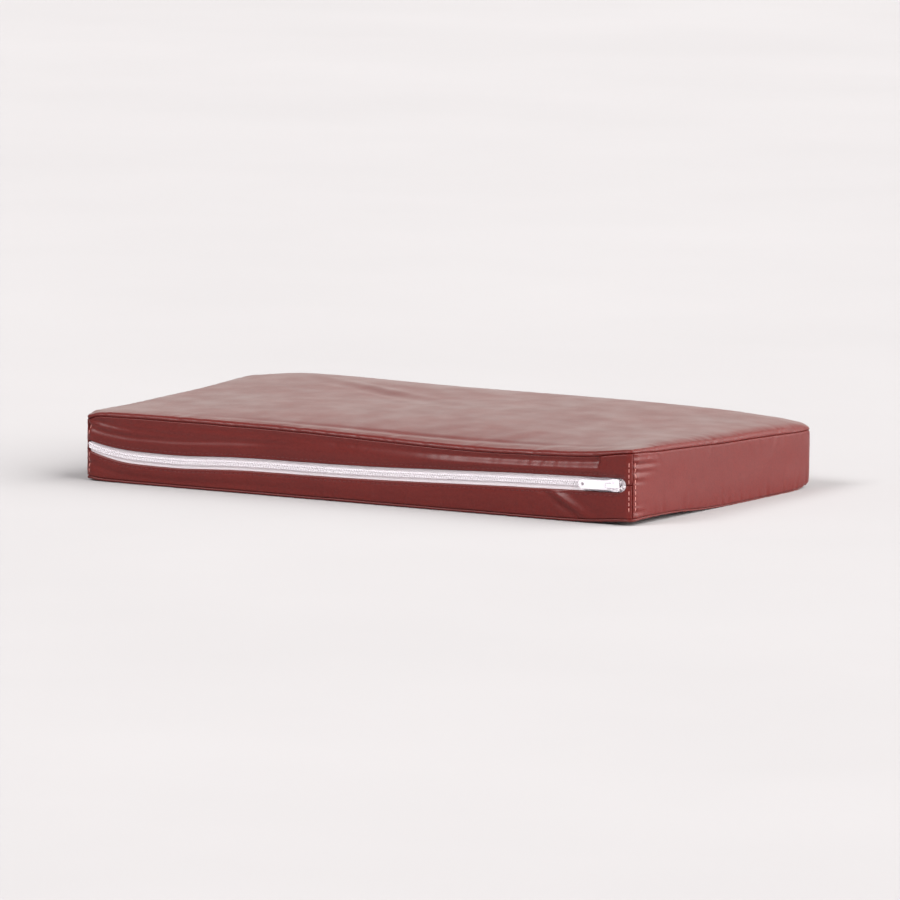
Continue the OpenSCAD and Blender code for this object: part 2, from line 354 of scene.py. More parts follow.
CLOTH_SETTINGS = {
    "quality": 6,
    "mass": 0.3,
    "tension_stiffness": 60,
    "compression_stiffness": 60,
    "shear_stiffness": 30,
    "bending_stiffness": 12,
    "air_damping": 4,
    "vertex_group_mass": "held",
    "vertex_group_shrink": "seams",
    "shrink_min": -0.008,
    "shrink_max": 0.03,
    "use_pressure": True,
    "uniform_pressure_force": 1.2,
}


def group_points(piece, name, id_arrays):
    """Puts points into a vertex group of a piece."""
    group = piece.vertex_groups.new(name=name)
    every = np.unique(np.concatenate([part.ravel() for part in id_arrays]))
    group.add([int(v) for v in every], 1.0, "REPLACE")


def simulate(ids, points, faces):
    """Pulls the seams of the cover tight over the foam and lets the cloth between them settle.

    The layers folded together at the corners are stiff, so the cloth near them moves less.
    """
    cover = make_mesh("cover_sim", points + rng.normal(0, SIM_NOISE, points.shape), faces)
    foam = make_mesh("foam_sim", points - FOAM_GAP * point_normals(points, faces), faces)
    group_points(cover, "held", [ids[:, 0, LOW_EDGE:HIGH_EDGE + 1], ids[3:-3, 3:-3, 0]])
    seams = [side[..., k] for k in (0, ROWS) for side in (ids[:, 0], ids[:, -1], ids[0], ids[-1])]
    group_points(cover, "seams", seams + [ids[0, 0], ids[-1, 0]])
    foam.modifiers.new("Collision", "COLLISION")
    foam.collision.thickness_outer = SIM_CONTACT * MM
    foam.collision.cloth_friction = 2
    cloth = cover.modifiers.new("Cloth", "CLOTH")
    for key, value in CLOTH_SETTINGS.items():
        setattr(cloth.settings, key, value)
    cloth.settings.effector_weights.gravity = 0
    cloth.collision_settings.distance_min = SIM_CONTACT * MM
    scene = bpy.context.scene
    scene.frame_start = cloth.point_cache.frame_start = 1
    scene.frame_end = cloth.point_cache.frame_end = SIM_FRAMES
    for f in range(1, SIM_FRAMES + 1):
        scene.frame_set(f)
    moved = places(cover) - points
    scene.frame_set(1)
    for piece in (cover, foam):
        bpy.data.objects.remove(piece)
    from_corner = np.hypot(abs(points[:, 0]) - END_X, abs(points[:, 1]) - BACK_Y)
    looseness = 0.15 + 0.85 * ease(from_corner / CORNER_REACH)
    moved = smoothed(moved, faces, 5) * looseness[:, None]
    reach = np.linalg.norm(moved, axis=1, keepdims=True)
    return points + moved * np.minimum(1, SIM_CAP / np.maximum(reach, 1e-9))


# ---- drawing on the lattice ----

def spline_terms(t, count):
    """The four lines round each fractional line number, and their weights on a smooth curve."""
    cell = np.clip(np.floor(t).astype(int), 0, count - 2)
    t = t - cell
    weights = [
        -0.5 * t + t ** 2 - 0.5 * t ** 3,
        1 - 2.5 * t ** 2 + 1.5 * t ** 3,
        0.5 * t + 2 * t ** 2 - 1.5 * t ** 3,
        -0.5 * t ** 2 + 0.5 * t ** 3,
    ]
    return [(np.clip(cell + n - 1, 0, count - 1), w) for n, w in enumerate(weights)]


def sample(grid, u, v):
    """Places on a grid of points at fractional line numbers u and v."""
    u, v = np.broadcast_arrays(np.asarray(u, float), np.asarray(v, float))
    place = np.zeros(u.shape + (3,))
    for a, weight_a in spline_terms(u, grid.shape[0]):
        for b, weight_b in spline_terms(v, grid.shape[1]):
            place += (weight_a * weight_b)[..., None] * grid[a, b]
    return place


def outward(place):
    """Horizontal unit directions away from the pillow, square to its plan outline."""
    x, y = place[..., 0], place[..., 1]
    radius = np.where(y < 0, FRONT_R, BACK_R)
    a, b = abs(x) - END_X + radius, abs(y) - BACK_Y + radius
    in_corner = (a > 0) & (b > 0)
    dx = np.where(in_corner, a, np.where(a > b, 1.0, 0.0)) * np.sign(x)
    dy = np.where(in_corner, b, np.where(a > b, 0.0, 1.0)) * np.sign(y)
    return unit(np.stack([dx, dy, np.zeros_like(dx)], -1))


UP = np.array([0.0, 0.0, 1.0])
RING_PAD = 3           # columns repeated at each end of the ring grid, so that it closes smoothly


def ring_of(lines_x, lines_y):
    """The two line numbers at each step round the outline, from its front left corner."""
    still_x, still_y = np.ones(len(lines_x) - 1), np.ones(len(lines_y) - 1)
    u = [lines_x[:-1], still_y * lines_x[-1], lines_x[:0:-1], still_y * 0]
    v = [still_x * 0, lines_y[:-1], still_x * lines_y[-1], lines_y[:0:-1]]
    return np.concatenate(u), np.concatenate(v)


def ring_number(u, v):
    """Fractional column number round the outline for line numbers on the plan's edge."""
    front, right, back = v == 0, u == NX, v == NY
    number = np.where(back, 2 * NX + NY - u, 2 * NX + 2 * NY - v)
    number = np.where(right, NX + v, number)
    return np.where(front, u, number)


def on_ring(along):
    """Fractional column number in the ring grid at a distance along the outline."""
    return np.interp(along, ALONG, np.arange(len(ALONG))) + RING_PAD


def along_column(column):
    """Distance along the outline of a fractional column number."""
    return np.interp(column, np.arange(len(ALONG)), ALONG)


def front_along(x):
    """Distance along the outline, from the front left corner seam, of a place on the straight front."""
    return x + END_X - FRONT_R + FRONT_R * math.pi / 4


def on_front(along, height, depth):
    """A place on the front at a distance along it, a height, and a depth behind the cover's face."""
    along, height, depth = np.broadcast_arrays(along, height, depth)
    straight = END_X - FRONT_R
    x = np.clip(along - front_along(0), -straight, straight)
    turned = (along - front_along(0) - x) / FRONT_R
    radius = FRONT_R - depth
    y = FRONT_Y + FRONT_R - radius * np.cos(turned)
    return np.stack([x + radius * np.sin(turned), y, height], -1)


FOLD_STEPS = FOLD * (1 - np.cos(np.radians([0, 22.5, 45, 67.5, 90])))


def fold_round(t):
    """How far a folded edge's round has run at a distance from the edge, from 0 to FOLD."""
    return FOLD * np.sqrt(1 - (1 - np.clip(t / FOLD, 0, 1)) ** 2)


class Darts:
    """Short creases that run into the cloth from a seam, at uneven places along it."""

    def __init__(self, length, spacing, depth, reach, seed):
        draw = np.random.default_rng(seed)
        count = int(length / spacing)
        self.at = (np.arange(count) + draw.uniform(0.1, 0.9, count)) * length / count
        self.width = draw.uniform(0.9, 2.4, count)
        self.depth = depth * draw.uniform(0.4, 1.0, count) ** 2
        self.reach = reach * draw.uniform(0.35, 1.0, count)
        self.slant = draw.normal(0, 0.22, count)

    def relief(self, along, gap):
        """Height of the creases at a distance along the seam and away from it."""
        along, gap = np.broadcast_arrays(along, gap)
        total = np.zeros(along.shape)
        near = (gap < 4 * self.reach.max()) & (gap > -4)
        s, t = along[near], np.maximum(gap[near], 0)
        part = np.zeros(len(s))
        darts = zip(self.at, self.width, self.depth, self.reach, self.slant)
        for at, width, depth, reach, slant in darts:
            across = (s - at - slant * t) / (width + 0.12 * t)
            part -= depth * np.exp(-t / reach) * (hill(across) - 0.45 * hill(across - 1.6))
        total[near] = part
        return total


def outline_columns(ids):
    """Ids of the lattice's upright columns round the outline, from its front left corner."""
    u, v = ring_of(np.arange(NX + 1), np.arange(NY + 1))
    return ids[u.astype(int), v.astype(int)]


def outline_lengths(plan):
    """Distance along the outline at each of its places, and all the way round."""
    steps = np.linalg.norm(np.diff(plan, axis=0, append=plan[:1]), axis=1)
    return np.concatenate([[0], np.cumsum(steps)])


IDS, SURFACE, QUADS = build_lattice()
COLUMNS = outline_columns(IDS)
ALONG = outline_lengths(SURFACE[COLUMNS[:, ROWS], :2])
RIGHT_SEAM, ROUND = ALONG[NX], ALONG[-1]
SURFACE = simulate(IDS, SURFACE, QUADS)
SURFACE[:, 2] = np.maximum(SURFACE[:, 2], 0)
RING = SURFACE[COLUMNS[np.arange(-RING_PAD, len(COLUMNS) + RING_PAD + 1) % len(COLUMNS)]]


# ---- cover ----

TOP_DARTS = Darts(ROUND, 10.0, 0.55, 7.0, 21)
FOOT_DARTS = Darts(ROUND, 11.0, 0.6, 8.0, 22)
CORNER_DARTS = Darts(HEIGHT, 7.0, 0.6, 9.0, 23)
LID_DARTS = Darts(ROUND, 10.0, 0.45, 10.0, 24)


def front_x(along):
    """The x of a place at a distance along the front."""
    return on_front(along, 0, 0)[..., 0]


def corner_gap(along):
    """Distance along the outline to the nearer corner seam."""
    return np.minimum(abs(along - RIGHT_SEAM), abs(np.minimum(along, ROUND - along)))


def below_top(place):
    """Distance down from the top seam of a place on the side wall."""
    return HEIGHT - ROLL_R + top_rise(place[..., 0], place[..., 1]) - place[..., 2]


def wall_relief(along, place, low_gap, high_gap):
    """Puckers of the side wall along its seams, as heights beside its plain surface."""
    z = place[..., 2]
    side = corner_gap(along)
    relief = TOP_DARTS.relief(along, below_top(place)) + FOOT_DARTS.relief(along, z - ROLL_R)
    relief = relief + CORNER_DARTS.relief(z, side) * ease(side / 2)
    stitch_row = -0.22 * hill((side - STITCH_INSET) / 0.8)
    return (relief + stitch_row) * ease(np.minimum(low_gap, high_gap) / 1.5)


DRAG_LINES = ((39.5, 36, 1.1), (34.5, 30, 0.9), (28.5, 20, 0.7), (9.0, 16, 0.7))   # height, reach, depth


def end_relief(along, place, low_gap, high_gap):
    """The boxing strip's puckers, and the drag lines that run back from the right corner seam."""
    past, z = along - RIGHT_SEAM, place[..., 2]
    relief = 0
    for height, reach, depth in DRAG_LINES:
        line = (z - height + 0.05 * past) / 1.4
        groove = depth * (hill(line) - 0.5 * hill(line - 1.7))
        relief = relief - groove * ease(past / 3) * (1 - ease(past / reach))
    return wall_relief(along, place, low_gap, high_gap) + relief * ease(high_gap / 2)


def upper_relief(from_left, slot_dist, to_top):
    """A hollow under the seam, a bulge below it, and folded layers at the right end."""
    hollow = 1.7 * hill((to_top - 3.4) / 3.0) * (0.35 + 0.65 * ease((from_left - 230) / 110))
    bulge = 0.9 * hill((slot_dist - 5.5) / 3.2) * ease((from_left - 200) / 110)
    folded = ease((from_left - 389.6) / 1.6)
    return (bulge - hollow) * (1 - folded) + 1.1 * folded * ease(slot_dist / 3)


def lower_relief(from_left, slot_dist):
    """A slanting ridge between two hollows near the right."""
    fold_line = (from_left - 365) * 0.5 - (slot_dist - 7) * 0.86
    ridge = 1.3 * hill(fold_line / 2.4) * hill((from_left - 365) / 13)
    left_hollow = 1.0 * hill((fold_line + 4.4) / 2.4) * hill((from_left - 362) / 13)
    right_hollow = 0.6 * hill((fold_line - 5.5) / 3.0) * hill((from_left - 376) / 13)
    return ridge - left_hollow - right_hollow


UPPER_CREASES = (                      # depth, distance from the slot, slope, width, end and fade
    (1.1, 9, 0.012, 2.0, 210, 120),
    (0.8, 15, -0.02, 1.8, 150, 90),
)
LOWER_CREASES = ((0.5, 8, 0.01, 2.2, 260, 200),)


def facing_relief(along, place, sign, slot_dist):
    """Creases of one facing, and the groove of its row of stitches."""
    from_left = front_x(along) + END_X
    if sign > 0:
        relief = upper_relief(from_left, slot_dist, below_top(place))
    else:
        relief = lower_relief(from_left, slot_dist)
    for depth, start, slope, width, end, fade in UPPER_CREASES if sign > 0 else LOWER_CREASES:
        line = (slot_dist - start - slope * from_left) / width
        relief = relief - depth * hill(line) * ease((end - from_left) / fade)
    return relief - 0.2 * hill((slot_dist - STITCH_INSET) / 0.7)


LID_MOUNDS = ((-0.9, -60, 30, 60, 40), (-0.7, 90, -20, 70, 36), (0.6, -120, -50, 45, 40))


def lid_relief(place):
    """Soft hollows, one long slack fold and a sunken line along the front edge of the top panel."""
    x, y = place[..., 0], place[..., 1]
    fold_line = (y - 62 + 0.42 * (x + 90)) / 7
    fold = 0.8 * hill(fold_line) * hill((x + 90) / 55)
    beside_fold = -0.6 * hill(fold_line + 1.9) * hill((x + 84) / 50)
    edge_line = (y - FRONT_Y - 9 - 0.03 * (x + END_X)) / 4
    front_edge = -0.7 * hill(edge_line) * hill((x - 40) / 110)
    return mounds(x, y, LID_MOUNDS) + fold + beside_fold + front_edge


def interp_rows(at, lengths, rows):
    """Lattice rows at lengths up each column."""
    return np.stack([np.interp(*column) for column in zip(at, lengths, rows)])


class Strip:
    """A strip of the side wall between two edges, which are lattice rows that may change along it."""

    def __init__(self, start, end, low, high, gaps, relief):
        self.start, self.end = start, end
        self.low, self.high = low, high
        self.gaps, self.relief = gaps, relief

    def lengths(self, along):
        """Sample rows up each column and the lengths up to them from the lower edge."""
        low, high = self.low(along), self.high(along)
        rows = low[:, None] + (high - low)[:, None] * np.linspace(0, 1, 41)
        path = sample(RING, on_ring(along)[:, None], rows)
        steps = np.linalg.norm(np.diff(path, axis=1), axis=2)
        return rows, np.concatenate([np.zeros((len(along), 1)), np.cumsum(steps, 1)], 1)

    def face(self, along, distance, inside=False, lift=0.0):
        """Places on the strip's outer face, or turned inside, at distances from its lower edge."""
        rows, lengths = self.lengths(along)
        place = sample(RING, on_ring(along)[:, None], interp_rows(distance, lengths, rows))
        low_gap, high_gap = self.gaps(along[:, None], place, distance, lengths[:, -1:])
        end_gap = np.minimum(along - self.start, self.end - along)[:, None]
        gap = np.minimum(end_gap, np.minimum(low_gap, high_gap))
        depth = np.where(inside, FOLD + fold_round(gap), FOLD - fold_round(gap))
        relief = self.relief(along[:, None], place, low_gap, high_gap) * np.where(inside, 0.6, 1)
        return place + outward(place) * (relief - depth + lift)[..., None]


def spaced(length, step):
    """Distances from edge to edge: close together over the folded edges, then step apart."""
    count = max(int(math.ceil((length - 2 * FOLD) / step)), 2)
    middle = np.linspace(FOLD, length - FOLD, count + 1)
    return np.concatenate([FOLD_STEPS[:-1], middle, length - FOLD_STEPS[:-1][::-1]])


def turned_in(width):
    """Distances over the cloth turned in, from next to the edge to its cut end."""
    return np.concatenate([FOLD_STEPS[1:-1], np.linspace(FOLD, width, 4)])


CLOTH_STEP = 1.05      # between the points up a strip's cloth


def strip_piece(name, strip, along, turns):
    """A strip's cloth with all four edges folded under; turns are the widths turned in, low and high."""
    left = strip.start + turned_in(ALLOWANCE)[::-1]
    right = strip.end - turned_in(ALLOWANCE)
    columns = np.concatenate([left, along, right])
    column_inside = np.repeat([True, False, True], [len(left), len(along), len(right)])
    total = strip.lengths(columns)[1][:, -1:]
    low_turn, high_turn = (np.interp(columns, along, turn + 0 * along)[:, None] for turn in turns)
    pattern = spaced(float(total.max()), CLOTH_STEP)
    ends = len(FOLD_STEPS) - 1
    stretched = FOLD + (pattern - FOLD) * (total - 2 * FOLD) / (pattern[-1] - 2 * FOLD)
    low_fold = pattern[:ends] + 0 * total
    high_fold = total - (pattern[-1] - pattern[-ends:])
    main = np.concatenate([low_fold, stretched[:, ends:-ends], high_fold], 1)
    tuck = turned_in(ALLOWANCE) / ALLOWANCE
    distance = np.concatenate([tuck[::-1] * low_turn, main, total - tuck * high_turn], 1)
    row_inside = np.repeat([True, False, True], [len(tuck), main.shape[1], len(tuck)])
    inside = column_inside[:, None] | row_inside
    place = strip.face(columns, distance, inside)
    quads = grid_faces(numbered(*inside.shape))
    block = column_inside[:, None] & row_inside
    quads = quads[~block.ravel()[quads].any(1)]
    used, quads = np.unique(quads, return_inverse=True)
    piece = make_mesh(name, place.reshape(-1, 3)[used], quads.reshape(-1, 4))
    thicken(piece, SKIN)
    return piece


def plain_gaps(along, place, distance, total):
    """Distances to the lower and upper edge of a strip with straight edges."""
    return distance, total - distance


def facing_strip(sign):
    """The front wall above (sign 1) or below (sign -1) the zip."""
    def slot_edge(along):
        past = np.maximum(front_x(along) - SLOT_END, 0)
        return CENTRE_ROW + sign * np.sqrt(np.maximum(1 - (past / SLOT_HALF) ** 2, 0))

    def seam_edge(along):
        return 0 * along + (ROWS if sign > 0 else 0)

    def slot_gap(along, place):
        x = front_x(along)
        across = sign * (place[..., 2] - zip_line(x))
        past = x - SLOT_END
        round_end = np.hypot(np.maximum(past, 0), across) - slot_half(x)
        butt = np.where(past >= SLOT_HALF, across, np.inf)
        return np.maximum(np.minimum(round_end, butt), 0)

    def gaps(along, place, distance, total):
        slot = slot_gap(along, place)
        return (slot, total - distance) if sign > 0 else (distance, slot)

    def relief(along, place, low_gap, high_gap):
        slot = low_gap if sign > 0 else high_gap
        return wall_relief(along, place, low_gap, high_gap) + facing_relief(along, place, sign, slot)

    edges = (slot_edge, seam_edge) if sign > 0 else (seam_edge, slot_edge)
    return Strip(0.0, RIGHT_SEAM, *edges, gaps, relief)


def facing(name, strip, sign):
    """One facing, folded under along the slot, round its end and along the joint beyond."""
    round_end = front_along(SLOT_END + SLOT_HALF * np.sin(np.radians(np.arange(0, 91, 10))))
    even = spaced(RIGHT_SEAM, 1.1)
    left = even[even < round_end[0] - 0.7]
    beyond = np.arange(1.6, RIGHT_SEAM - round_end[-1] - 0.3, 0.6)
    right = RIGHT_SEAM - np.concatenate([FOLD_STEPS, beyond])[::-1]
    along = np.concatenate([left, round_end, right])
    past = front_x(along) - SLOT_END
    slot_turn = TURN_UNDER + (BUTT_TURN - TURN_UNDER) * ease((past + 5) / 5)
    turns = (slot_turn, ALLOWANCE) if sign > 0 else (ALLOWANCE, slot_turn)
    return strip_piece(name, strip, along, turns)


def boxing(name, strip):
    """The side wall from the right corner seam round the back to the left corner seam."""
    return strip_piece(name, strip, RIGHT_SEAM + spaced(ROUND - RIGHT_SEAM, 1.2), (ALLOWANCE, ALLOWANCE))


def panel_lines(lines):
    """Line numbers across a panel: close together at the seams, about 1.5 mm apart between."""
    shoulder = [0, 0.1, 0.25, 0.45, 0.7, 0.95, 1.3, 1.75, 2.2, 2.7, 3.2, 3.7]
    last = len(lines) - 1
    at = list(shoulder)
    for cell in range(ROLL_LINES, last - ROLL_LINES):
        parts = int(math.ceil((lines[cell + 1] - lines[cell]) / 1.6))
        at.extend(cell + n / parts for n in range(parts))
    at.append(last - ROLL_LINES)
    at.extend(last - n for n in shoulder[::-1])
    return np.array(at)


def edge_lengths(lines, at):
    """Lengths over the cloth from a panel's low edge to fractional line numbers."""
    flat = ROLL_STEP * ROLL_LINES + lines - lines[0] - ROLL_R
    table = np.where(np.arange(len(lines)) < ROLL_LINES, ROLL_STEP * np.arange(len(lines)), flat)
    return np.interp(at, np.arange(len(lines)), table)


SHOULDER = 1.25        # length over which a panel turns down into the seam
SHOULDER_DEPTH = 1.9
LIP_STEPS = (0.4, 0.9, 2.0, 4.0, ALLOWANCE)     # down from the seam, where the lip's points lie


def panel_face(u, v, level, darts, relief):
    """Places of a panel's face at line numbers, rolled down at the edges into the seam."""
    place = sample(SURFACE[IDS[:, :, level]], u[:, None], v[None])
    sides = [
        (along_column(u)[:, None], edge_lengths(YS, v)[None]),
        (along_column(NX + v)[None], edge_lengths(XS, NX - u)[:, None]),
        (along_column(2 * NX + NY - u)[:, None], edge_lengths(YS, NY - v)[None]),
        (along_column(2 * NX + 2 * NY - v)[None], edge_lengths(XS, u)[:, None]),
    ]
    front, right, back, left = (to_edge for along, to_edge in sides)
    gap = np.minimum(np.minimum(front, back), np.minimum(left, right))
    height = sum(darts.relief(*side) for side in sides) * ease(gap / 1.5)
    if relief is not None:
        height = height + relief(place)
    upright = np.sin(np.clip(gap / (ROLL_STEP * ROLL_LINES), 0, 1) * math.pi / 2)[..., None]
    away = outward(place) * np.sqrt(1 - upright ** 2) + (UP if level else -UP) * upright
    depth = SHOULDER_DEPTH * (1 - np.sqrt(1 - (1 - np.clip(gap / SHOULDER, 0, 1)) ** 2))
    place = place + away * (height - depth)[..., None]
    if not level:
        place[..., 2] = np.maximum(place[..., 2], 0)
    return place


def below_seam(level, column, fall):
    """Places on the wall at lengths below the top seam, or above the bottom seam."""
    rows, lengths = WALL.lengths(along_column(column))
    at = lengths[:, -1] - fall if level else fall + np.zeros(len(column))
    return sample(RING, column + RING_PAD, interp_rows(at, lengths, rows))


def panel(name, level, darts, relief=None):
    """A top or bottom panel, with a lip turned in behind the wall."""
    u, v = panel_lines(XS), panel_lines(YS)
    place = panel_face(u, v, level, darts, relief)
    number = numbered(len(u), len(v))
    ring_u, ring_v = ring_of(u, v)
    edge = number[np.searchsorted(u, ring_u), np.searchsorted(v, ring_v)]
    lip = []
    for fall in LIP_STEPS:
        down = below_seam(level, ring_number(ring_u, ring_v), fall)
        depth = LIP_START if fall == LIP_STEPS[0] else LIP_DEPTH
        lip.append(down - outward(down) * depth)
    wall = np.concatenate([edge[None], numbered(len(lip), len(edge), number.size)])
    wall = np.concatenate([wall, wall[:, :1]], 1)
    turn = 1 if level else -1
    quads = [grid_faces(number[::turn]), grid_faces(wall[::turn])]
    piece = make_mesh(name, np.concatenate([place.reshape(-1, 3)] + lip), np.concatenate(quads))
    thicken(piece, SKIN)
    return piece


def seam_thread(name, level):
    """The hidden thread of a panel's seam, just inside the lip."""
    along = np.arange(0, ROUND, 2.0)
    fall = 1.2 + 0.12 * np.cos(np.arange(len(along)) * 2.2)
    down = below_seam(level, on_ring(along) - RING_PAD, fall)
    away = outward(down)
    up = np.broadcast_to(UP, away.shape)
    return make_mesh(name, *tube(down - away * SEAM_THREAD_DEPTH, away, up, THREAD_R, 6, closed=True))


def stitches(name, rows_of_paths):
    """Stitches, each on five places of the cloth, that dip into it at both ends."""
    dip = THREAD_R * np.array([-1.4, -0.1, 0.25, -0.1, -1.4])
    parts = []
    for path in rows_of_paths:
        away = outward(path)
        across = np.cross(unit(path[-1] - path[0]), away)
        parts.append(tube(path + away * dip[:, None], away, across, THREAD_R))
    return make_mesh(name, *joined(parts))


STITCH_AT = STITCH_LEN * np.array([-0.5, -0.38, 0, 0.38, 0.5])


def zip_stitches(name, strip, sign):
    """The row that holds a facing to its tape."""
    count = int((2 * SLOT_END - STITCH_LEN) / STITCH_PITCH) + 1
    paths = []
    for n in range(count):
        along = front_along((n - (count - 1) / 2) * STITCH_PITCH) + STITCH_AT
        total = strip.lengths(along)[1][:, -1]
        wobble = rng.normal(0, 0.06)
        distance = STITCH_INSET + wobble if sign > 0 else total - STITCH_INSET - wobble
        paths.append(strip.face(along, (distance + 0 * total)[:, None])[:, 0])
    return stitches(name, paths)


def corner_stitches(name, seam, sides):
    """The two upright rows beside a corner seam; sides gives each row's strips and its direction."""
    paths = []
    for strips, direction in sides:
        along = seam + direction * (STITCH_INSET + 0.1)
        along = np.array([along % ROUND])
        count = int((HEIGHT - 8 - STITCH_LEN) / STITCH_PITCH) + 1
        for n in range(count):
            height = HEIGHT / 2 + (n - (count - 1) / 2) * STITCH_PITCH
            for strip in strips:
                rows, lengths = strip.lengths(along)
                z = sample(RING, on_ring(along)[:, None], rows)[0, :, 2]
                if z[0] + STITCH_INSET < height < z[-1] - STITCH_INSET:
                    at = np.interp(height + STITCH_AT, z, lengths[0])
                    paths.append(strip.face(along, at[None])[0])
    return stitches(name, paths)


# ---- cut sizes ----

FACING_TURNS = ALLOWANCE + TURN_UNDER


def strip_cut(strip, turned):
    """Width and length of the cloth that a strip is cut from, in metres, and its area."""
    width = strip.lengths(np.linspace(strip.start + 1, strip.end - 1, 80))[1][:, -1] + turned
    length = strip.end - strip.start + 2 * ALLOWANCE
    return (width.max() * MM, length * MM), width.mean() * length * MM * MM


# ---- zip ----

def tape(name, sign):
    """One woven tape, from the left corner seam to its cut end behind the slot's round end."""
    coil_end = front_along(COIL_END)
    beside_coil = np.linspace(0.2, coil_end - 3, 120)
    beyond = np.linspace(-2.5, TAPE_END - COIL_END + 2.5, 12) + coil_end
    along = np.concatenate([beside_coil, beyond])
    closing = ease((along - front_along(COIL_END - 3)) / 2.2)[:, None]
    inner = TAPE_INNER + (0.02 - TAPE_INNER) * closing
    across = inner + (TAPE_OUTER - inner) * np.linspace(0, 1, 7)
    height = zip_line(front_x(along))[:, None] + sign * across
    place = on_front(along[:, None], height, TAPE_FRONT)
    number = numbered(*place.shape[:2])[:, ::sign]
    piece = make_mesh(name, place.reshape(-1, 3), grid_faces(number))
    thicken(piece, TAPE_THICK)
    return piece


def parting(x):
    """How far a coil stands off its closed path, where the chain opens round the slider's post."""
    return COIL_SPREAD * ease((x - COIL_PART[0]) / (COIL_PART[1] - COIL_PART[0]))


FILAMENT_R = 0.27
CORD_R = 0.38
LOOP_POINTS = 10
COIL_START = 1.0       # from the left corner seam to the coils
COIL_REACH = 0.42      # how far a coil's loops reach past the zip's centre line


def coil(name, sign):
    """One nylon coil: loops of filament that reach between the loops of the other coil."""
    loops = int((front_along(COIL_END) - COIL_START) / COIL_PITCH)
    turn = np.arange(loops * LOOP_POINTS + 1) * 2 * math.pi / LOOP_POINTS
    shift = 0.0 if sign > 0 else 0.5 * COIL_PITCH
    along = COIL_START + shift + COIL_PITCH * (turn - 0.8 * np.sin(turn)) / (2 * math.pi)
    along = np.minimum(along, front_along(COIL_END))
    x = front_x(along)
    inner, outer = FILAMENT_R - COIL_REACH, COIL_W - FILAMENT_R
    middle, half = (inner + outer) / 2, (outer - inner) / 2
    middle_depth, half_depth = (COIL_FRONT + COIL_BACK) / 2, (COIL_BACK - COIL_FRONT) / 2 - FILAMENT_R
    across = middle - half * np.cos(turn) + parting(x)
    path = on_front(along, zip_line(x) + sign * across, middle_depth - half_depth * np.sin(turn))
    centre = on_front(along, zip_line(x) + sign * (middle + parting(x)), middle_depth)
    run = on_front(along + 0.5, 0, 1.0) - on_front(along - 0.5, 0, 1.0)
    return make_mesh(name, *tube(path, unit(path - centre), unit(run), FILAMENT_R, 6))


def coil_cord(name, sign):
    """The filler cord inside a coil."""
    along = np.linspace(COIL_START, front_along(COIL_END), 160)
    x = front_x(along)
    path = on_front(along, zip_line(x) + sign * (COIL_W / 2 + parting(x)), (COIL_FRONT + COIL_BACK) / 2)
    away = outward(on_front(along, 0, 0))
    return make_mesh(name, *tube(path, away, np.broadcast_to(UP, path.shape), CORD_R))


# ---- foam ----

def foam_core(name):
    """The foam block: the cover's settled shape, drawn in behind its seams."""
    centre, half = (FOAM_LOW + FOAM_HIGH) / 2, (FOAM_HIGH - FOAM_LOW) / 2 - FOAM_SLACK
    cover_centre = np.array([0, (FRONT_Y + BACK_Y) / 2, HEIGHT / 2])
    cover_half = np.array([END_X, (BACK_Y - FRONT_Y) / 2, HEIGHT / 2])
    place = centre + (SURFACE - cover_centre) / cover_half * half
    piece = make_mesh(name, place, QUADS)
    smooth = piece.modifiers.new("smooth", "SUBSURF")
    smooth.levels = smooth.render_levels = 1
    return piece


# ---- materials ----

